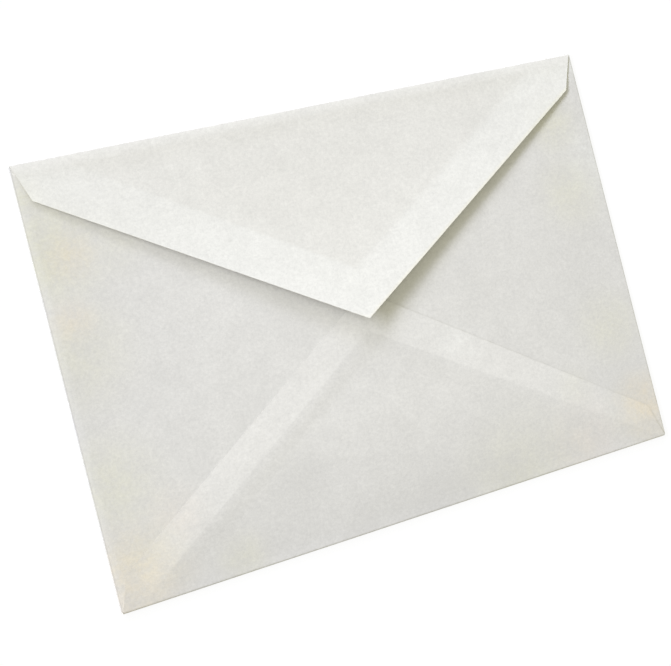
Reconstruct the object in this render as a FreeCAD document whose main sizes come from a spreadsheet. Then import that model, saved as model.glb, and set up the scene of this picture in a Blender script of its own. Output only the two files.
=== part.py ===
import FreeCAD, Part
import os
import Sketcher

# An empty letter envelope of the pointed-flap kind, cut from one sheet of paper,
# creased along four straight lines and folded. It lies on its plain address side.
# X runs along the long side, +Y towards the crease of the closing flap, +Z up.
# The origin is the middle of the address side, at its lowest face.

# Driving sizes: millimetres, and degrees for the angle
SIZES = {
    "long_side": 162,
    "short_side": 114,
    "paper": 0.12,
    "pocket_gap": 0.3,
    "flap_clearance": 0.1,
    "corner_notch": 0.2,
    "lift_angle": 3.3,
    "top_depth": 59.2,
    "top_tip_shift": 0.15,
    "top_tip_round": 0.5,
    "top_left_inset": 3.6,
    "top_left_drop": 9.85,
    "top_right_inset": 4.2,
    "top_right_drop": 10.3,
    "top_shoulder_round": 1,
    "bottom_depth": 62.3,
    "bottom_tip_shift": 0.7,
    "bottom_shoulder_inset": 3.4,
    "bottom_left_rise": 9.15,
    "bottom_right_rise": 9.75,
    "bottom_shoulder_round": 2.5,
    "bottom_tip_round": 3,
    "side_tip_gap": 0.6,
    "side_tip_round": 3,
    "side_lower_inset": 10,
    "left_lower_rise": 4.05,
    "left_lower_height": 52.2,
    "right_lower_rise": 5.7,
    "right_lower_height": 51.3,
    "side_upper_inset": 12.4,
    "side_upper_drop": 1.2,
    "side_upper_depth": 45.2,
    "side_shoulder_round": 4,
}

# Edges of the address side, measured from the origin
RIGHT = "(sizes.long_side / 2)"
TOP = "(sizes.short_side / 2)"

# Outside radius of each bend. Its inside takes the pocket and the sheets that lie in it.
SIDE_BEND = "(sizes.pocket_gap / 2 + sizes.paper)"
BOTTOM_BEND = "((sizes.pocket_gap + sizes.paper) / 2 + sizes.paper)"
TOP_BEND = "((sizes.pocket_gap + sizes.paper + sizes.flap_clearance) / 2 + sizes.paper)"

# Where the flat address side ends and each bend begins
SIDE_CREASE = f"({RIGHT} - {SIDE_BEND})"
BOTTOM_CREASE = f"({TOP} - {BOTTOM_BEND})"
TOP_CREASE = f"({TOP} - {TOP_BEND})"

# Each crease stops short of its corners, where the blank is notched
SIDE_CREASE_LOW = f"({BOTTOM_CREASE} - sizes.corner_notch)"
SIDE_CREASE_HIGH = f"({TOP_CREASE} - sizes.corner_notch)"
LONG_CREASE = f"({SIDE_CREASE} - sizes.corner_notch)"


def make_sheet(doc):
    sheet = doc.addObject("Spreadsheet::Sheet", "sizes")
    for row, (name, value) in enumerate(SIZES.items(), start=1):
        sheet.set(f"A{row}", name)
        sheet.set(f"B{row}", str(value))
        sheet.setAlias(f"B{row}", name)
    doc.recompute()


def new_sketch(body, name, role, height):
    """An empty sketch on one of the body's planes, moved along its normal by height."""
    sketch = body.newObject("Sketcher::SketchObject", name)
    plane = next(o for o in body.Origin.OriginFeatures if o.Role == role)
    sketch.AttachmentSupport = [(plane, "")]
    sketch.MapMode = "FlatFace"
    sketch.setExpression("AttachmentOffset.Base.z", height)
    return sketch


def fix_point(sketch, line, end, place):
    """Hold one end of a line at a place given as two expressions."""
    for kind, expression in zip(("DistanceX", "DistanceY"), place):
        value = float(sketch.evalExpression(expression))
        index = sketch.addConstraint(Sketcher.Constraint(kind, -1, 1, line, end, value))
        sketch.setExpression(f"Constraints[{index}]", expression)


def draw_outline(sketch, corners):
    """A closed outline of straight edges through the corners. Each corner is
    (across, along) or (across, along, radius), all as expressions."""
    places = [corner[:2] for corner in corners]
    points = [
        FreeCAD.Vector(*(float(sketch.evalExpression(e)) for e in place), 0) for place in places
    ]
    first = sketch.GeometryCount
    count = len(points)
    for i in range(count):
        sketch.addGeometry(Part.LineSegment(points[i], points[(i + 1) % count]), False)
    for i in range(count):
        after = first + (i + 1) % count
        sketch.addConstraint(Sketcher.Constraint("Coincident", first + i, 2, after, 1))
    for i in range(count):
        fix_point(sketch, first + i, 1, places[i])
    for i, corner in enumerate(corners):
        if len(corner) == 3:
            round_corner(sketch, first + i, corner[2])


def round_corner(sketch, line, radius):
    """Round the corner at the start of a line, which keeps its corner point."""
    size = float(sketch.evalExpression(radius))
    sketch.fillet(line, 1, size, True, True)
    arc = sketch.GeometryCount - 2
    index = sketch.addConstraint(Sketcher.Constraint("Radius", arc, size))
    sketch.setExpression(f"Constraints[{index}]", radius)


def pad_sheet(body, sketch, name):
    """Give an outline the thickness of the paper."""
    pad = body.newObject("PartDesign::Pad", name)
    pad.Profile = sketch
    pad.setExpression("Length", "sizes.paper")


def address_side(body):
    sketch = new_sketch(body, "address_outline", "XY_Plane", "0")
    draw_outline(
        sketch,
        [
            (f"-{SIDE_CREASE}", f"-{BOTTOM_CREASE}"),
            (SIDE_CREASE, f"-{BOTTOM_CREASE}"),
            (SIDE_CREASE, TOP_CREASE),
            (f"-{SIDE_CREASE}", TOP_CREASE),
        ],
    )
    pad_sheet(body, sketch, "address_side")


def bend(body, name, role, place, span, radius, angle, reverse):
    """The sheet turned over along a crease: the section of the paper, between the two
    ends of the crease, is swung round a line that lies one bend radius above it."""
    sketch = new_sketch(body, f"{name}_section", role, place)
    low, high = span
    draw_outline(
        sketch, [(low, "0"), (high, "0"), (high, "sizes.paper"), (low, "sizes.paper")]
    )
    ends = [(low, radius), (high, radius)]
    start, stop = (
        FreeCAD.Vector(*(float(sketch.evalExpression(e)) for e in end), 0) for end in ends
    )
    axis = sketch.addGeometry(Part.LineSegment(start, stop), True)
    fix_point(sketch, axis, 1, ends[0])
    fix_point(sketch, axis, 2, ends[1])
    turn = body.newObject("PartDesign::Revolution", name)
    turn.Profile = sketch
    turn.ReferenceAxis = (sketch, ["Axis0"])
    turn.setExpression("Angle", angle)
    turn.Reversed = reverse


def side_bends(body):
    span = (f"-{SIDE_CREASE_LOW}", SIDE_CREASE_HIGH)
    bend(body, "left_bend", "YZ_Plane", f"-{SIDE_CREASE}", span, SIDE_BEND, "180", False)
    bend(body, "right_bend", "YZ_Plane", SIDE_CREASE, span, SIDE_BEND, "180", True)


def side_flap(body, side, hand):
    """A side flap over the pocket: from its crease it narrows, past two shoulders,
    to a blunt tip near the middle. side is left or right, and hand is -1 or 1."""
    height = "sizes.paper + sizes.pocket_gap"
    sketch = new_sketch(body, f"{side}_flap_outline", "XY_Plane", height)
    crease = f"{hand} * {SIDE_CREASE}"
    lower = f"{hand} * ({RIGHT} - sizes.side_lower_inset)"
    upper = f"{hand} * ({RIGHT} - sizes.side_upper_inset)"
    tip = f"{hand} * sizes.side_tip_gap / 2"
    draw_outline(
        sketch,
        [
            (crease, f"-{SIDE_CREASE_LOW}"),
            (lower, f"sizes.{side}_lower_rise - {TOP}", "sizes.side_shoulder_round"),
            (tip, f"sizes.{side}_lower_height - {TOP}", "sizes.side_tip_round"),
            (tip, f"{TOP} - sizes.side_upper_depth", "sizes.side_tip_round"),
            (upper, f"{TOP} - sizes.side_upper_drop", "sizes.side_shoulder_round"),
            (crease, SIDE_CREASE_HIGH),
        ],
    )
    pad_sheet(body, sketch, f"{side}_flap")


def bottom_bend(body):
    span = (f"-{LONG_CREASE}", LONG_CREASE)
    bend(body, "bottom_bend", "XZ_Plane", BOTTOM_CREASE, span, BOTTOM_BEND, "180", True)


def bottom_flap(body):
    """The bottom flap lies on both side flaps, where it is gummed down face to face."""
    sketch = new_sketch(
        body, "bottom_flap_outline", "XY_Plane", "2 * sizes.paper + sizes.pocket_gap"
    )
    shoulder = f"({RIGHT} - sizes.bottom_shoulder_inset)"
    left_rise = f"sizes.bottom_left_rise - {TOP}"
    right_rise = f"sizes.bottom_right_rise - {TOP}"
    draw_outline(
        sketch,
        [
            (f"-{LONG_CREASE}", f"-{BOTTOM_CREASE}"),
            (LONG_CREASE, f"-{BOTTOM_CREASE}"),
            (shoulder, right_rise, "sizes.bottom_shoulder_round"),
            ("sizes.bottom_tip_shift", f"sizes.bottom_depth - {TOP}", "sizes.bottom_tip_round"),
            (f"-{shoulder}", left_rise, "sizes.bottom_shoulder_round"),
        ],
    )
    pad_sheet(body, sketch, "bottom_flap")


def top_bend(body):
    span = (f"-{LONG_CREASE}", LONG_CREASE)
    turn = "180 - sizes.lift_angle"
    bend(body, "top_bend", "XZ_Plane", f"-{TOP_CREASE}", span, TOP_BEND, turn, False)


def top_flap(body):
    """The closing flap is open: it springs up from its crease by the lift angle. Its
    outline is drawn flat, on the plane of its underside, from where the bend ends."""
    inside = f"({TOP_BEND} - sizes.paper)"
    angle = "(sizes.lift_angle * 1 deg)"
    sketch = new_sketch(
        body, "top_flap_outline", "XY_Plane", f"{TOP_BEND} + {inside} * cos({angle})"
    )
    sketch.setExpression("AttachmentOffset.Base.y", f"{TOP_CREASE} + {inside} * sin({angle})")
    sketch.setExpression("AttachmentOffset.Rotation.Axis.x", "1")
    sketch.setExpression("AttachmentOffset.Rotation.Axis.z", "0")
    sketch.setExpression("AttachmentOffset.Rotation.Angle", f"-{angle}")
    left = f"sizes.top_left_inset - {RIGHT}"
    left_drop = f"{TOP_BEND} - sizes.top_left_drop"
    right = f"{RIGHT} - sizes.top_right_inset"
    right_drop = f"{TOP_BEND} - sizes.top_right_drop"
    tip_drop = f"{TOP_BEND} - sizes.top_depth"
    draw_outline(
        sketch,
        [
            (f"-{LONG_CREASE}", "0"),
            (left, left_drop, "sizes.top_shoulder_round"),
            ("-sizes.top_tip_shift", tip_drop, "sizes.top_tip_round"),
            (right, right_drop, "sizes.top_shoulder_round"),
            (LONG_CREASE, "0"),
        ],
    )
    pad_sheet(body, sketch, "top_flap")


def make_envelope(doc):
    body = doc.addObject("PartDesign::Body", "envelope")
    body.Label = "envelope"
    address_side(body)
    side_bends(body)
    side_flap(body, "left", -1)
    side_flap(body, "right", 1)
    bottom_bend(body)
    bottom_flap(body)
    top_bend(body)
    top_flap(body)
    return body


def check(doc, parts):
    for item in doc.Objects:
        if {"Invalid", "Error"} & set(item.State):
            raise RuntimeError(f"{item.Label} failed: {item.State}")
    for part in parts:
        if part.Shape.isNull() or not part.Shape.isValid():
            raise RuntimeError(f"{part.Label} has no valid shape")
        print(part.Label, len(part.Shape.Solids), "solid,", round(part.Shape.Volume, 2), "mm3")


def main():
    doc = FreeCAD.newDocument("paper_envelope")
    make_sheet(doc)
    parts = [make_envelope(doc)]
    doc.recompute()
    check(doc, parts)
    os.makedirs("parts", exist_ok=True)
    for part in parts:
        part.Shape.exportStep(f"parts/{part.Label}.step")


main()
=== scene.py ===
from math import atan2, cos, pi, radians, sin, tan

import bpy
import numpy as np
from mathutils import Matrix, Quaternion, Vector


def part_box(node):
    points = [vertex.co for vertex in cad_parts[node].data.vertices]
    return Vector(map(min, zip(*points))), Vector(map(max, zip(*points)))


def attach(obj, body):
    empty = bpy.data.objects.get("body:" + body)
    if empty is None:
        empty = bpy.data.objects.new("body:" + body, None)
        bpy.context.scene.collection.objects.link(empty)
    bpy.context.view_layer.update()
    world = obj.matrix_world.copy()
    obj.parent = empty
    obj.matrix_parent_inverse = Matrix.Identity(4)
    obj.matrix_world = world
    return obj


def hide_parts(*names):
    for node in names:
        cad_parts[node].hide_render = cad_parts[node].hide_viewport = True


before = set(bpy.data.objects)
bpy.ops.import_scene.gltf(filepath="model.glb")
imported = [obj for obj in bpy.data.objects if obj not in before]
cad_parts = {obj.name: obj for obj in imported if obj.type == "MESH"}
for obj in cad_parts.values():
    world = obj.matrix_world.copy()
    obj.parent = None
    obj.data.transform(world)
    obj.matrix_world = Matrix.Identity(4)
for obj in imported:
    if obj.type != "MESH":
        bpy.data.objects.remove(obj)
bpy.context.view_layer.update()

low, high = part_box("envelope")
mm = 0.001

# The sheet as it is cut, creased and folded, what handling does to it and how finely it is
# divided, in millimetres and degrees. A shoulder is how far in from the side and out from the
# crease it lies, and a reach such as hugReach is where an effect starts and where it is full
sheet = {
    "paper": 0.12,
    "pocketGap": 0.3,
    "flapClearance": 0.05,
    "cornerNotch": 0.12,
    "liftAngle": 3.3,
    "closingDepth": 59.2,
    "closingTipShift": -0.15,
    "closingLeft": (3.6, 9.85),
    "closingRight": (4.2, 10.3),
    "closingRounds": (1, 0.5),
    "bottomHeight": 62.3,
    "bottomTipShift": 0.7,
    "bottomLeft": (3.4, 9.15),
    "bottomRight": (3.4, 9.75),
    "bottomRounds": (2.5, 3),
    "sideTipGap": 0.6,
    "sideRounds": (4, 3),
    "sideLowerInset": 10,
    "leftLower": (4.05, 52.2),
    "rightLower": (5.7, 51.3),
    "sideUpper": (12.4, 1.2),
    "sideUpperDepth": 45.2,
    "foldSoftness": {"closing": 3, "bottom": 0.3, "left": 2.5, "right": 0.3},
    "creaseHug": 0.24,
    "hugReach": (0, 6),
    "rightBow": 0.12,
    "bowAcross": (0, 50),
    "bowReach": (12, 30),
    "tipCurl": 0.3,
    "curlStart": 1 / 3,
    "pocketBulge": 1.0,
    "bulgePower": 1.5,
    "pastCrease": (0, 2),
    "pastLap": (2, 6),
    "cornerPress": 0.6,
    "pressAcross": (60, 74),
    "pressDepth": (1, 7),
    "gumFilm": 0.02,
    "restGap": 0.02,
    "waveHeight": 0.25,
    "waveSize": 55,
    "waveRange": (0.35, 0.8),
    "seed": 3.0,
    "columns": 56,
    "rows": 40,
    "bendSteps": 8,
    "arcSteps": 8,
    "rowDigits": 4,
    "tipReach": 1e-6,
    "mergeReach": 0.001,
    "sharpAngle": 50,
}

# Half sizes, bends and creases that follow from them
halfLong = (high.x - low.x) / 2 / mm
halfShort = (high.y - low.y) / 2 / mm
sideInner = sheet["pocketGap"] / 2
bottomInner = (sheet["pocketGap"] + sheet["paper"]) / 2
closingInner = (sheet["pocketGap"] + sheet["paper"] + sheet["flapClearance"]) / 2
sideCrease = halfLong - sideInner - sheet["paper"]
bottomCrease = halfShort - bottomInner - sheet["paper"]
closingCrease = halfShort - closingInner - sheet["paper"]
closingTurn = pi - radians(sheet["liftAngle"])
sideRun = sideInner * pi
bottomRun = bottomInner * pi
closingRun = closingInner * closingTurn


class Sock:
    # a node's output that takes part in Python arithmetic
    def __init__(self, tree, socket):
        self.tree = tree
        self.socket = socket

    def node(self, kind, settings, values, out=0):
        made = self.tree.nodes.new(kind)
        for name, value in settings.items():
            setattr(made, name, value)
        for key, value in values.items():
            if isinstance(value, Sock):
                self.tree.links.new(value.socket, made.inputs[key])
            else:
                made.inputs[key].default_value = value
        return Sock(self.tree, made.outputs[out])

    def math(self, operation, *values):
        values = dict(enumerate(values))
        return self.node("ShaderNodeMath", {"operation": operation}, values)

    def __add__(self, other):
        return self.math("ADD", self, other)

    def __radd__(self, other):
        return self.math("ADD", other, self)

    def __sub__(self, other):
        return self.math("SUBTRACT", self, other)

    def __rsub__(self, other):
        return self.math("SUBTRACT", other, self)

    def __mul__(self, other):
        return self.math("MULTIPLY", self, other)

    def __rmul__(self, other):
        return self.math("MULTIPLY", other, self)

    def __truediv__(self, other):
        return self.math("DIVIDE", self, other)

    def __rtruediv__(self, other):
        return self.math("DIVIDE", other, self)

    def __neg__(self):
        return self.math("MULTIPLY", self, -1)

    def __abs__(self):
        return self.math("ABSOLUTE", self)

    def atLeast(self, other):
        return self.math("MAXIMUM", self, other)

    def atMost(self, other):
        return self.math("MINIMUM", self, other)

    def squared(self):
        return self.math("MULTIPLY", self, self)

    def toPower(self, power):
        return self.math("POWER", self, power)

    def sign(self):
        return self.math("SIGN", self)

    def sine(self):
        return self.math("SINE", self)

    def cosine(self):
        return self.math("COSINE", self)

    def over(self, other):
        return self.math("GREATER_THAN", self, other)

    def ramp(self, start, stop):
        # 0 below start, 1 past stop, smooth between
        settings = {"interpolation_type": "SMOOTHSTEP"}
        values = {"Value": self, "From Min": start, "From Max": stop}
        return self.node("ShaderNodeMapRange", settings, values)

    def faded(self, amount, start, stop):
        # 1 below start, less by the amount past stop
        return 1 - amount * self.ramp(start, stop)

    def parts(self):
        made = self.node("ShaderNodeSeparateXYZ", {}, {0: self})
        return [Sock(self.tree, s) for s in made.socket.node.outputs]

    def scaled(self, factor):
        return self.node("ShaderNodeVectorMath", {"operation": "SCALE"}, {0: self, "Scale": factor})


def roundedPath(corners):
    # corners are (across, out, radius); a radius of 0 keeps the corner sharp
    path = []
    for i, (across, out, radius) in enumerate(corners):
        point = Vector((across, out))
        if not radius:
            path.append(point)
            continue
        toBefore = (Vector(corners[i - 1][:2]) - point).normalized()
        toAfter = (Vector(corners[i + 1][:2]) - point).normalized()
        half = toBefore.angle(toAfter) / 2
        centre = point + (toBefore + toAfter).normalized() * radius / sin(half)
        first = point + toBefore * radius / tan(half) - centre
        last = point + toAfter * radius / tan(half) - centre
        start = atan2(first.y, first.x)
        turn = (atan2(last.y, last.x) - start + pi) % (2 * pi) - pi
        for k in range(sheet["arcSteps"] + 1):
            angle = start + turn * k / sheet["arcSteps"]
            path.append(centre + radius * Vector((cos(angle), sin(angle))))
    return np.array([tuple(p) for p in path])


def endFlap(radius, run, depth, tipShift, left, right, rounds):
    # outline of the closing or the bottom flap on the flat sheet, across its crease and out
    # from it; depths count from the folded envelope's edge
    longEnd = sideCrease - sheet["cornerNotch"]
    edge = run - radius - sheet["paper"]
    shoulderRound, tipRound = rounds
    (leftInset, leftOut), (rightInset, rightOut) = left, right
    return [
        (-longEnd, 0, 0),
        (-longEnd, run, 0),
        (leftInset - halfLong, edge + leftOut, shoulderRound),
        (tipShift, edge + depth, tipRound),
        (halfLong - rightInset, edge + rightOut, shoulderRound),
        (longEnd, run, 0),
        (longEnd, 0, 0),
    ]


def sideFlap(lower):
    # outline of a side flap in the same way; its blunt tip stops just short of the middle
    lowerEnd = sheet["cornerNotch"] - bottomCrease
    upperEnd = closingCrease - sheet["cornerNotch"]
    edge = sideRun - sideInner - sheet["paper"]
    tip = edge + halfLong - sheet["sideTipGap"] / 2
    rise, height = lower
    inset, drop = sheet["sideUpper"]
    shoulderRound, tipRound = sheet["sideRounds"]
    return [
        (lowerEnd, 0, 0),
        (lowerEnd, sideRun, 0),
        (rise - halfShort, edge + sheet["sideLowerInset"], shoulderRound),
        (height - halfShort, tip, tipRound),
        (halfShort - sheet["sideUpperDepth"], tip, tipRound),
        (halfShort - drop, edge + inset, shoulderRound),
        (upperEnd, sideRun, 0),
        (upperEnd, 0, 0),
    ]


def flapGrid(corners, run, softness, spacing, ends):
    # rows of points from the crease out to the tip; ends are the crease's shares
    path = roundedPath(corners)
    tip = path[:, 1].max()
    atTip = np.flatnonzero(path[:, 1] > tip - sheet["tipReach"])
    left = path[: atTip[0] + 1]
    right = path[atTip[-1]:][::-1]
    flat = np.linspace(run + softness, tip, int((tip - run) / spacing) + 2)
    bend = np.linspace(0, run, sheet["bendSteps"] + 1)
    outs = np.concatenate([bend, flat, left[:, 1], right[:, 1]])
    outs = np.unique(np.round(outs, sheet["rowDigits"]))
    near = np.interp(outs, left[:, 1], left[:, 0])
    far = np.interp(outs, right[:, 1], right[:, 0])
    across = near[:, None] + (far - near)[:, None] * ends[None, :]
    return across, np.repeat(outs[:, None], len(ends), 1)


def spread(start, stop, count, notch):
    # even steps between two creases, with a narrow one at each end for the corner notches
    inner = np.linspace(start + notch, stop - notch, count + 1)
    return np.concatenate([[start], inner, [stop]])


def quadMesh(grids):
    # one flat mesh of grids of points, with every face up
    points, faces = [], []
    for gridX, gridY in grids:
        first = len(points)
        rows, columns = gridX.shape
        points += [(x * mm, y * mm, 0) for x, y in zip(gridX.ravel(), gridY.ravel())]
        for r in range(rows - 1):
            for c in range(columns - 1):
                a = first + r * columns + c
                face = [a, a + 1, a + columns + 1, a + columns]
                (ax, ay, _), (bx, by, _), (cx, cy, _) = (points[i] for i in face[:3])
                isUp = (bx - ax) * (cy - by) - (by - ay) * (cx - bx) > 0
                faces.append(face if isUp else face[::-1])
    made = bpy.data.meshes.new("flatBlank")
    made.from_pydata(points, [], faces)
    return made


def flatBlank():
    # the die-cut sheet before folding: the address side and its four flaps, crease to crease
    xs = spread(-sideCrease, sideCrease, sheet["columns"], sheet["cornerNotch"])
    ys = spread(-bottomCrease, closingCrease, sheet["rows"], sheet["cornerNotch"])
    alongX = (xs[1:-1] - xs[1]) / (xs[-2] - xs[1])
    alongY = (ys[1:-1] - ys[1]) / (ys[-2] - ys[1])
    spacing = 2 * sideCrease / sheet["columns"]
    softness = sheet["foldSoftness"]
    closing = endFlap(
        closingInner, closingRun, sheet["closingDepth"], sheet["closingTipShift"],
        sheet["closingLeft"], sheet["closingRight"], sheet["closingRounds"],
    )
    bottom = endFlap(
        bottomInner, bottomRun, sheet["bottomHeight"], sheet["bottomTipShift"],
        sheet["bottomLeft"], sheet["bottomRight"], sheet["bottomRounds"],
    )
    grids = [np.meshgrid(xs, ys)]
    across, out = flapGrid(closing, closingRun, softness["closing"], spacing, alongX)
    grids.append((across, closingCrease + out))
    across, out = flapGrid(bottom, bottomRun, softness["bottom"], spacing, alongX)
    grids.append((across, -bottomCrease - out))
    for side, hand in (("left", -1), ("right", 1)):
        corners = sideFlap(sheet[side + "Lower"])
        across, out = flapGrid(corners, sideRun, softness[side], spacing, alongY)
        grids.append((hand * (sideCrease + out), across))
    return quadMesh(grids)


def lowerEdge(x):
    # height of the side flaps' lower edges above the middle, for a place across
    reach = halfLong - sheet["sideLowerInset"]
    (leftRise, leftHeight), (rightRise, rightHeight) = sheet["leftLower"], sheet["rightLower"]
    onLeft = leftHeight + x * (leftHeight - leftRise) / reach
    onRight = rightHeight - x * (rightHeight - rightRise) / reach
    return onLeft + x.over(0) * (onRight - onLeft) - halfShort


def bottomEdge(x):
    # height of the bottom flap's long edges above the middle, both with the left one's slope
    inset, rise = sheet["bottomLeft"]
    climb = (sheet["bottomHeight"] - rise) / (halfLong - inset)
    return sheet["bottomHeight"] - halfShort - abs(x - sheet["bottomTipShift"]) * climb


def bendBy(distance, radius, turn):
    # how far along and how far up a point lies that was distance past the crease
    angle = (distance / radius).atLeast(0).atMost(turn)
    beyond = (distance - radius * turn).atLeast(0)
    along = distance.atMost(0) + radius * angle.sine() + beyond * cos(turn)
    up = radius * (1 - angle.cosine()) + beyond * sin(turn)
    return along, up


def foldedPlace(given, x, y):
    # where the folds take a point of the flat sheet, seen from above, and how far up
    alongSide, upSide = bendBy(abs(x) - sideCrease, given["Side Inner Radius"], pi)
    alongTop, upTop = bendBy(y - closingCrease, given["Closing Inner Radius"], closingTurn)
    alongBottom, upBottom = bendBy(-y - bottomCrease, given["Bottom Inner Radius"], pi)
    isTop = y.over(0)
    planX = x.sign() * (sideCrease + alongSide)
    planY = isTop * (closingCrease + alongTop) - (1 - isTop) * (bottomCrease + alongBottom)
    up = upSide + isTop * upTop + (1 - isTop) * upBottom
    return planX, planY, up


def closingRise(given, x, y):
    # the closing flap hugs its crease, bows up along its right edge and curls up at its tip
    reach = y - closingCrease - closingRun
    hug = given["Crease Hug"] * reach.ramp(*sheet["hugReach"])
    bow = given["Right Bow"] * x.ramp(*sheet["bowAcross"]) * reach.ramp(*sheet["bowReach"])
    start = sheet["curlStart"] * sheet["closingDepth"]
    curl = ((reach - start) / (sheet["closingDepth"] - start)).atLeast(0).squared()
    return bow - hug + given["Tip Curl"] * curl


def pocketRise(given, x, planX, planY, overBottom):
    # the empty pocket stands open a little, and the bottom flap lies on a film of gum and
    # settles lower past the laps
    pillow = (1 - (planX / halfLong).squared()) * (1 - (planY / halfShort).squared())
    pillow = pillow.atLeast(0).toPower(sheet["bulgePower"])
    overSide = (abs(x) - sideCrease).ramp(*sheet["pastCrease"])
    bulge = given["Pocket Bulge"] * pillow * overSide.atLeast(overBottom)
    unlapped = (lowerEdge(planX) - planY).ramp(*sheet["pastLap"])
    return bulge - overBottom * (given["Paper"] * unlapped - given["Gum Film"])


def edgePress(given, planX, planY, overBottom):
    # towards the lower corners the bottom flap's edges are pressed thin
    nearEdge = 1 - (bottomEdge(planX) - planY).ramp(*sheet["pressDepth"])
    return given["Corner Press"] * abs(planX).ramp(*sheet["pressAcross"]) * nearEdge * overBottom


def sheetWave(given, planX, planY):
    # the whole sheet is not quite flat
    plan = planX.node("ShaderNodeCombineXYZ", {}, {0: planX, 1: planY})
    size = 1 / given["Wave Size"].atLeast(1)
    values = {"Vector": plan, "W": given["Seed"], "Scale": size, "Detail": 1.0}
    noise = plan.node("ShaderNodeTexNoise", {"noise_dimensions": "4D"}, values)
    return given["Wave Height"] * noise.ramp(*sheet["waveRange"])


def keptAs(name, geometry, value, kind="FLOAT", domain="POINT", chosen=True):
    # the geometry with a value kept on it, for later nodes and for the material
    settings = {"data_type": kind, "domain": domain}
    values = {"Geometry": geometry, "Selection": chosen, "Name": name, "Value": value}
    return geometry.node("GeometryNodeStoreNamedAttribute", settings, values)


def merged(geometry):
    values = {"Geometry": geometry, "Distance": sheet["mergeReach"] * mm}
    return geometry.node("GeometryNodeMergeByDistance", {}, values)


def thickened(tree, inner, thickness):
    # the sheet's thickness, outside the folds
    extruder = tree.nodes.new("GeometryNodeExtrudeMesh")
    extruder.inputs["Individual"].default_value = False
    turned = inner.node("GeometryNodeFlipFaces", {}, {"Mesh": inner})
    tree.links.new(turned.socket, extruder.inputs["Mesh"])
    tree.links.new(thickness.socket, extruder.inputs["Offset Scale"])
    outer = Sock(tree, extruder.outputs["Mesh"])
    for name, output in (("outer", "Top"), ("cutEdge", "Side")):
        chosen = Sock(tree, extruder.outputs[output])
        outer = keptAs(name, outer, 1.0, domain="FACE", chosen=chosen)
    joiner = tree.nodes.new("GeometryNodeJoinGeometry")
    tree.links.new(inner.socket, joiner.inputs[0])
    tree.links.new(outer.socket, joiner.inputs[0])
    return merged(Sock(tree, joiner.outputs[0]))


def shadedSmooth(whole):
    # smooth all over, but sharp at the cut edges
    isSharp = whole.node("GeometryNodeInputMeshEdgeAngle", {}, {}).over(radians(sheet["sharpAngle"]))
    for domain, chosen, smooth in (("FACE", True, True), ("EDGE", isSharp, False)):
        values = {"Geometry": whole, "Selection": chosen, "Shade Smooth": smooth}
        whole = whole.node("GeometryNodeSetShadeSmooth", {"domain": domain}, values)
    return whole


def foldTree():
    # the nodes that fold the flat blank, and the sizes that are set on them
    tree = bpy.data.node_groups.new("foldSheet", "GeometryNodeTree")
    face = tree.interface
    face.new_socket("Geometry", in_out="INPUT", socket_type="NodeSocketGeometry")
    sizes = {
        "Paper": sheet["paper"],
        "Side Inner Radius": sideInner,
        "Bottom Inner Radius": bottomInner,
        "Closing Inner Radius": closingInner,
        "Crease Hug": sheet["creaseHug"],
        "Right Bow": sheet["rightBow"],
        "Tip Curl": sheet["tipCurl"],
        "Pocket Bulge": sheet["pocketBulge"],
        "Corner Press": sheet["cornerPress"],
        "Gum Film": sheet["gumFilm"],
        "Wave Height": sheet["waveHeight"],
        "Wave Size": sheet["waveSize"],
        "Seed": sheet["seed"],
    }
    for name in sizes:
        face.new_socket(name, in_out="INPUT", socket_type="NodeSocketFloat")
    face.new_socket("Material", in_out="INPUT", socket_type="NodeSocketMaterial")
    face.new_socket("Geometry", in_out="OUTPUT", socket_type="NodeSocketGeometry")
    group = tree.nodes.new("NodeGroupInput")
    given = {s.name: Sock(tree, s) for s in group.outputs if s.name}

    blank = given["Geometry"]
    flat = blank.node("GeometryNodeInputPosition", {}, {})
    blank = keptAs("flat", blank, flat, kind="FLOAT_VECTOR")
    x, y, _ = flat.scaled(1 / mm).parts()
    planX, planY, up = foldedPlace(given, x, y)
    overBottom = (-y - bottomCrease).ramp(*sheet["pastCrease"])
    blank = keptAs("pressed", blank, edgePress(given, planX, planY, overBottom))
    up = up + closingRise(given, x, y) + pocketRise(given, x, planX, planY, overBottom)
    up = up + sheetWave(given, planX, planY) + given["Paper"] + sheet["restGap"]
    folded = planX.node("ShaderNodeCombineXYZ", {}, {0: planX, 1: planY, 2: up}).scaled(mm)
    inner = blank.node("GeometryNodeSetPosition", {}, {"Geometry": blank, "Position": folded})
    inner = merged(inner)

    settings = {"data_type": "FLOAT"}
    pressed = inner.node("GeometryNodeInputNamedAttribute", settings, {"Name": "pressed"})
    whole = shadedSmooth(thickened(tree, inner, given["Paper"] * mm * (1 - pressed)))
    whole = whole.node("GeometryNodeRealizeInstances", {}, {"Geometry": whole})
    values = {"Geometry": whole, "Material": given["Material"]}
    whole = whole.node("GeometryNodeSetMaterial", {}, values)
    end = tree.nodes.new("NodeGroupOutput")
    tree.links.new(whole.socket, end.inputs[0])
    return tree, sizes


def foldedEnvelope(material):
    tree, sizes = foldTree()
    blank = bpy.data.objects.new("blank", flatBlank())
    bpy.context.scene.collection.objects.link(blank)
    fold = blank.modifiers.new("fold", "NODES")
    fold.node_group = tree
    for item in tree.interface.items_tree:
        if item.in_out == "INPUT" and item.name in sizes:
            fold[item.identifier] = float(sizes[item.name])
        if item.in_out == "INPUT" and item.name == "Material":
            fold[item.identifier] = material
    bpy.context.view_layer.update()
    ready = blank.evaluated_get(bpy.context.evaluated_depsgraph_get())
    folded = bpy.data.meshes.new_from_object(ready)
    folded.name = "envelopeSheet"
    piece = bpy.data.objects.new("envelopeSheet", folded)
    bpy.context.scene.collection.objects.link(piece)
    bpy.data.objects.remove(blank)
    return piece


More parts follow.
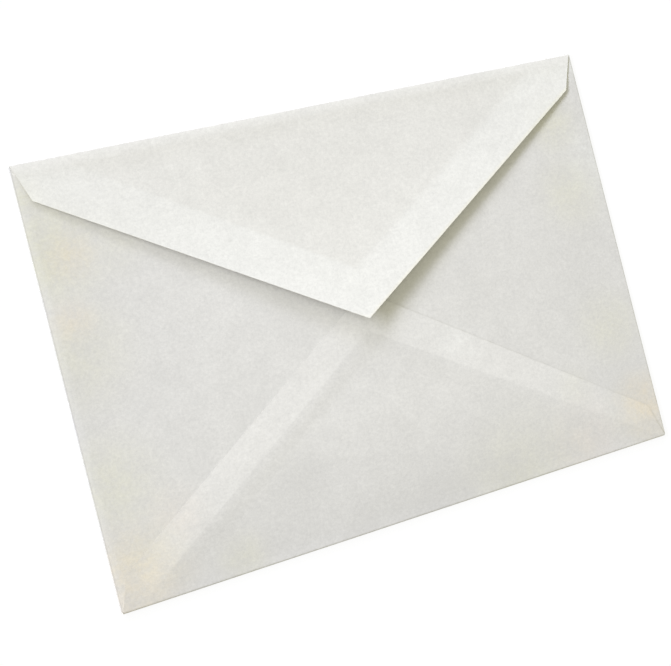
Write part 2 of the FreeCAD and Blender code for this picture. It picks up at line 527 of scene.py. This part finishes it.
# Colours of the paper as they read under plain light, 0 to 255, and the steps between its
# lighter and darker parts on the same scale, which are painted shade and light; places are in
# millimetres. A stain is a tone and patches of it, each with its place, reach and strength; some
# patches are painted shade and light
paper = {
    "body": (221, 220, 216),
    "flapInner": (224, 223, 217),
    # the closing flap's tones are lighter than the body's: painted show-through light, strongest at
    # its border where other flaps lie behind
    "flapBorder": (232, 232, 227),
    # a painted highlight along the closing flap's rim, cream on its right half
    "flapRimHighlight": (231, 230, 219),
    "inside": (226, 225, 218),
    "cutEdge": (240, 237, 214),
    "stepShare": 0.0105,
    # painted shade and light over each panel, and painted show-through light on the laps
    "sideShading": (3.8, 4, 0.001),
    "bottomShading": (5.5, -26, 0.42, 0.15),
    "flapShading": (0.15, 45),
    "middle": (-5, 5),
    "lapShowThrough": 6.5,
    "lapSoft": 0.4,
    "lapStart": (-79, -63),
    "lapEnd": (71, 81),
    "lapFade": (0.35, 20, 50),
    # a painted highlight along the closing flap's rim
    "rimHighlight": 1.5,
    "rimReach": (0.2, 1.0),
    "borderReach": (1, 5),
    # painted show-through light on the closing flap, where other flaps back it and towards its rim
    "backedShare": 0.65,
    "backedSoft": (0.8, 1.8),
    "backedFade": (0.4, 35, 60),
    "rimShowThroughReach": 22,
    "rimShowThroughFade": (0.4, -15, 15),
    "foldSoft": 0.3,
    # painted shade on the left and bottom bends and on the bottom flap's cut edge
    "leftFoldShade": 0.85,
    "bottomFoldShade": 0.95,
    "bottomFoldEnd": (64, 76),
    "bottomCutShade": 0.48,
    "mottle": {"amount": 0.06, "Scale": 0.05, "Detail": 2.0, "Roughness": 0.5},
    "cloud": {"amount": 0.24, "Scale": 0.15, "Detail": 5.0, "Roughness": 0.85},
    "grain": {"amount": 0.3, "Scale": 1.0, "Detail": 2.0, "Roughness": 0.9},
    "bump": {"Strength": 0.3, "Distance": 0.05 * mm},
    "finish": {"Roughness": 0.85, "IOR": 1.4, "Specular IOR Level": 0.15},
    "stainLessOnFlap": 0.7,
    "stainLeast": 0.6,
    "stainWithCloud": 0.8,
    "stainCloud": (0.35, 0.65),
    "stainsAndPaintedLight": {
        "yellowed": {
            "tone": (220, 219, 204),
            "patches": [
                (-80, 48, 9, 0.8),
                (-78, 34, 22, 0.8),
                (-62, 32, 12, 0.3),
                (-78, 8, 22, 0.5),
                (-77, -26, 20, 0.6),
                (-48, -53, 10, 0.5),
                (70, 38, 12, 0.6),
                (70, 18, 15, 0.5),
                (56, -36, 9, 0.25),
                (72, -22, 15, 0.5),
                (76, -48, 16, 0.5),
                (-74, -46, 18, 0.5),
                (35, -57, 28, 0.5),
            ],
        },
        "rusty": {
            "tone": (227, 219, 208),
            "patches": [
                (-72, 32, 9, 0.5),
                (-75, 16, 8, 0.5),
                (-76, -50, 20, 0.7),
                (-62, -38, 12, 0.3),
                (77, -47, 14, 0.8),
                (56, -52, 18, 0.3),
            ],
        },
        # darker patches: painted shade by the flap's tip and along the bottom edge, the rest a
        # darker tone
        "dull": {
            "tone": (216, 215, 211),
            "patches": [
                (-28, -38, 11, 1.0),
                (8, -60, 14, 0.9),
                (30, -60, 14, 0.9),
                (72, -38, 18, 0.8),
                (-20, 6, 14, 0.6),
            ],
        },
        # lighter patches: painted light on the shadow by the flap's right corner, on the shade by
        # its crease and along the right edge, the rest a lighter tone
        "pale": {
            "tone": (227, 227, 223),
            "patches": [
                (82, 26, 18, 1.0),
                (80, 53, 6, 1.0),
                (60, 54, 16, 1.0),
                (24, -14, 10, 0.5),
                (-72, -54, 16, 0.4),
            ],
        },
    },
}
white = [1, 1, 1, 1]


def linear(tone):
    # the standard curve from a colour on the screen to amounts of light
    shares = [c / 255 for c in tone]
    return [c / 12.92 if c <= 0.04045 else ((c + 0.055) / 1.055) ** 2.4 for c in shares] + [1]


def blend(factor, first, second):
    settings = {"data_type": "RGBA"}
    return factor.node("ShaderNodeMix", settings, {0: factor, 6: first, 7: second}, 2)


def alongFold(distance, run):
    # 1 on a bend, 0 away from it
    soft = paper["foldSoft"]
    return distance.ramp(-soft, 0) * (1 - distance.ramp(run, run + soft))


def freshTree(owner):
    owner.use_nodes = True
    owner.node_tree.nodes.clear()
    return owner.node_tree


def finishTree(tree, kind, surface):
    end = tree.nodes.new(kind)
    tree.links.new(surface.socket, end.inputs["Surface"])


def paperMaps(x, y, flatX, flatY):
    # which panel of the sheet a point is on
    closingOut, bottomOut = flatY - closingCrease, -flatY - bottomCrease
    maps = {
        "fromCrease": closingOut,
        "closing": closingOut.ramp(0, closingRun),
        "bottom": bottomOut.ramp(0, bottomRun),
        "leftBend": alongFold(-flatX - sideCrease, sideRun),
        "bottomBend": alongFold(bottomOut, bottomRun) * (1 - x.ramp(*paper["bottomFoldEnd"])),
    }

    # how far a point is inside each flap that lies over or under it
    maps["pastLower"] = y - lowerEdge(x)
    maps["pastBottom"] = bottomEdge(x) - y
    inset, drop = sheet["sideUpper"]
    fall = (sheet["sideUpperDepth"] - drop) / (halfLong - inset - sheet["sideTipGap"] / 2)
    maps["pastUpper"] = halfShort - drop - (halfLong - inset - abs(x)) * fall - y
    inset, drop = sheet["closingLeft"]
    climb = (sheet["closingDepth"] - drop) / (halfLong - inset)
    tip = closingRun - closingInner - sheet["paper"] + sheet["closingDepth"]
    below = tip - abs(flatX - sheet["closingTipShift"]) * climb - closingOut
    maps["fromRim"] = below * cos(atan2(climb, 1))
    return maps


def flapBorder(x, maps):
    # the closing flap's lighter border: painted show-through light where other flaps back it and
    # towards its rim
    left, right = paper["backedSoft"]
    soft = left + (right - left) * x.ramp(*paper["middle"])
    backed = maps["pastUpper"].ramp(-soft, soft).atLeast(maps["pastBottom"].ramp(-soft, soft))
    backed = backed * (-x).faded(*paper["backedFade"])
    rimShowThrough = 1 - maps["fromRim"].ramp(0, paper["rimShowThroughReach"])
    rimShowThrough = rimShowThrough * x.faded(*paper["rimShowThroughFade"])
    border = paper["backedShare"] * backed + (1 - paper["backedShare"]) * rimShowThrough
    return border * maps["fromCrease"].ramp(*paper["borderReach"])


def paintedPanelShading(x, y, maps, rim):
    # painted shade and light over each panel, for how the pillowed pocket and raised flap take the
    # light, and painted show-through light on the laps
    lap = maps["pastLower"].ramp(-paper["lapSoft"], paper["lapSoft"]) * maps["bottom"]
    lap = lap * x.ramp(*paper["lapStart"]) * (1 - x.ramp(*paper["lapEnd"]))
    lap = lap * x.faded(*paper["lapFade"])
    height, middle, curve = paper["sideShading"]
    sideStep = height - curve * (x - middle).squared()
    height, middle, slopeBelow, slopeAbove = paper["bottomShading"]
    fall = (slopeBelow * (middle - y)).atLeast(slopeAbove * (y - middle))
    bottomStep = height - fall + paper["lapShowThrough"] * lap
    slope, start = paper["flapShading"]
    closingStep = slope * abs(start - y) + paper["rimHighlight"] * rim
    steps = sideStep + maps["bottom"] * (bottomStep - sideStep)
    return steps + maps["closing"] * (closingStep - steps)


def withStainsAndPaintedLight(colour, x, y, cloud, onClosing):
    # the colour with all stains on it, and patches of painted shade and light among them, which are
    # weaker on the closing flap and cloudy too
    amount = 1 - paper["stainLessOnFlap"] * onClosing
    clouded = cloud.ramp(*paper["stainCloud"])
    amount = amount * (paper["stainLeast"] + clouded * paper["stainWithCloud"])
    for stain in paper["stainsAndPaintedLight"].values():
        cover = x * 0
        for stainX, stainY, reach, strength in stain["patches"]:
            away = ((x - stainX).squared() + (y - stainY).squared()).toPower(0.5)
            cover = cover.atLeast(strength * (1 - away.ramp(0, reach)))
        tone = [a / b for a, b in zip(linear(stain["tone"]), linear(paper["body"]))]
        tint = blend(cover * amount, white, tone)
        settings = {"operation": "MULTIPLY"}
        colour = colour.node("ShaderNodeVectorMath", settings, {0: colour, 1: tint})
    return colour


def writingPaper():
    material = bpy.data.materials.new("writingPaper")
    tree = freshTree(material)
    start = tree.nodes.new("ShaderNodeTexCoord")
    place = Sock(tree, start.outputs["Object"]).scaled(1 / mm)
    x, y, _ = place.parts()
    flat = place.node("ShaderNodeAttribute", {"attribute_name": "flat"}, {}, 1).scaled(1 / mm)
    flatX, flatY, _ = flat.parts()
    isOuter = place.node("ShaderNodeAttribute", {"attribute_name": "outer"}, {}, 2)
    isCut = place.node("ShaderNodeAttribute", {"attribute_name": "cutEdge"}, {}, 2)
    maps = paperMaps(x, y, flatX, flatY)

    # the tone of each part, with painted show-through light on the closing flap
    border = flapBorder(x, maps)
    # the rim carries a painted highlight along the closing flap's edges, cream on its right half
    rim = 1 - maps["fromRim"].ramp(*paper["rimReach"])
    colour = blend(border, linear(paper["flapInner"]), linear(paper["flapBorder"]))
    colour = blend(rim * x.ramp(*paper["middle"]), colour, linear(paper["flapRimHighlight"]))
    colour = blend(maps["closing"], linear(paper["body"]), colour)
    colour = blend(1 - isOuter, colour, linear(paper["inside"]))
    colour = blend(isCut, colour, linear(paper["cutEdge"]))

    # painted shade and light over the panels, and painted shade on the left and bottom bends and on
    # the bottom flap's cut edge
    shade = 1 + paper["stepShare"] * paintedPanelShading(x, y, maps, rim) * isOuter
    shade = shade * (1 - (1 - paper["leftFoldShade"]) * maps["leftBend"])
    shade = shade * (1 - (1 - paper["bottomFoldShade"]) * maps["bottomBend"])
    shade = shade * (1 - (1 - paper["bottomCutShade"]) * isCut * maps["bottom"])

    # mottled tone, cloudy fibres and fine grain
    noises = {}
    for name in ("mottle", "cloud", "grain"):
        values = {"Vector": flat, **paper[name]}
        amount = values.pop("amount")
        noises[name] = flat.node("ShaderNodeTexNoise", {}, values)
        shade = shade * (1 + amount * (noises[name] - 0.5))
    colour = withStainsAndPaintedLight(colour, x, y, noises["cloud"], maps["closing"]).scaled(shade)

    bump = flat.node("ShaderNodeBump", {}, {"Height": noises["cloud"], **paper["bump"]})
    values = {"Base Color": colour, "Normal": bump, **paper["finish"]}
    surface = colour.node("ShaderNodeBsdfPrincipled", {}, values)
    finishTree(tree, "ShaderNodeOutputMaterial", surface)
    return material


# A wide, low window on the left and a fainter one beyond the flap's crease give about half of
# the light, and warm light from all round the rest; angles are in degrees, distances in metres
light = {
    "distance": 8.0,
    "halfHeight": 4,
    "windows": {
        "leftWindow": {"azimuth": 24, "rise": 21, "halfWidth": 25, "share": 0.345},
        "farWindow": {"azimuth": 80, "rise": 14.5, "halfWidth": 25, "share": 0.175},
    },
    "windowColour": (0.86, 0.88, 1.072),
    "roomShare": 0.555,
    "roomColour": (1.02, 1.0, 0.82),
}


def windowLight(name, azimuth, rise, halfWidth, share):
    # a window whose power gives the table its share of the light from so far away
    turn, rise = radians(azimuth), radians(rise)
    towards = Vector((-cos(turn) * cos(rise), sin(turn) * cos(rise), sin(rise)))
    lamp = bpy.data.lights.new(name, "AREA")
    lamp.shape = "RECTANGLE"
    lamp.size = 2 * light["distance"] * tan(radians(halfWidth))
    lamp.size_y = 2 * light["distance"] * tan(radians(light["halfHeight"]))
    lamp.color = light["windowColour"]
    lamp.energy = share / light["windowColour"][1] * (pi * light["distance"]) ** 2 / sin(rise)
    window = bpy.data.objects.new(name, lamp)
    window.location = towards * light["distance"]
    window.rotation_mode = "QUATERNION"
    window.rotation_quaternion = (-towards).to_track_quat("-Z", "Y")
    bpy.context.scene.collection.objects.link(window)


def seenDirectly(tree):
    # 1 for what the camera sees, also by a mirror or through glass, and 0 for light
    rays = tree.nodes.new("ShaderNodeLightPath").outputs
    names = ("Is Camera Ray", "Is Glossy Ray", "Is Transmission Ray")
    camera, glossy, through = [Sock(tree, rays[name]) for name in names]
    return camera.atLeast(glossy).atLeast(through)


def roomLight():
    world = bpy.data.worlds.new("room")
    bpy.context.scene.world = world
    tree = freshTree(world)
    seen = seenDirectly(tree)
    glow = [c * light["roomShare"] for c in light["roomColour"]] + [1]
    glow = blend(seen, glow, white)
    room = seen.node("ShaderNodeBackground", {}, {"Color": glow, "Strength": 1.0})
    finishTree(tree, "ShaderNodeOutputWorld", room)


# A white table, mostly seen as a plain bright surface; its side is in metres
table = {"side": 6.0, "tone": 0.9, "seenWhite": 0.86, "brightness": 1.03}


def whiteTable():
    half = table["side"] / 2
    corners = [(-half, -half), (half, -half), (half, half), (-half, half)]
    top = bpy.data.meshes.new("table")
    top.from_pydata([(x, y, low.z) for x, y in corners], [], [(0, 1, 2, 3)])
    floor = bpy.data.objects.new("table", top)
    bpy.context.scene.collection.objects.link(floor)
    material = bpy.data.materials.new("whiteTable")
    tree = freshTree(material)
    seen = seenDirectly(tree)
    glow = seen.node("ShaderNodeEmission", {}, {"Color": white, "Strength": table["brightness"]})
    matt = seen.node("ShaderNodeBsdfDiffuse", {}, {"Color": [table["tone"]] * 3 + [1]})
    both = seen.node("ShaderNodeMixShader", {}, {0: seen * table["seenWhite"], 1: matt, 2: glow})
    finishTree(tree, "ShaderNodeOutputMaterial", both)
    top.materials.append(material)


# Where the picture was taken from, in millimetres and degrees. The shift is a share of the
# picture's width, and what lies nearer or farther than the clip, in metres, isn't seen
view = {
    "place": (-110.91, 9.23, 301.2),
    "target": (-7.16, 9.2, 0),
    "roll": 75.779,
    "lens": 64.16,
    "sensor": 36,
    "shift": (0.00788, -0.07247),
    "clip": (0.01, 100),
}


def photoCamera():
    data = bpy.data.cameras.new("camera")
    data.sensor_fit = "HORIZONTAL"
    data.sensor_width = view["sensor"]
    data.lens = view["lens"]
    data.shift_x, data.shift_y = view["shift"]
    data.clip_start, data.clip_end = view["clip"]
    camera = bpy.data.objects.new("camera", data)
    bpy.context.scene.collection.objects.link(camera)
    place = Vector(view["place"]) * mm
    toward = Vector(view["target"]) * mm - place
    turned = toward.to_track_quat("-Z", "Y") @ Quaternion((0, 0, 1), radians(view["roll"]))
    camera.location = place
    camera.rotation_mode = "QUATERNION"
    camera.rotation_quaternion = turned
    bpy.context.scene.camera = camera


photoCamera()
whiteTable()
for name, window in light["windows"].items():
    windowLight(name, **window)
roomLight()
print("camera, table and light are set")
envelope = foldedEnvelope(writingPaper())
print("the sheet is folded:", len(envelope.data.polygons), "faces")
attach(envelope, "root")
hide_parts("envelope")
bpy.context.scene.view_settings.view_transform = "Standard"
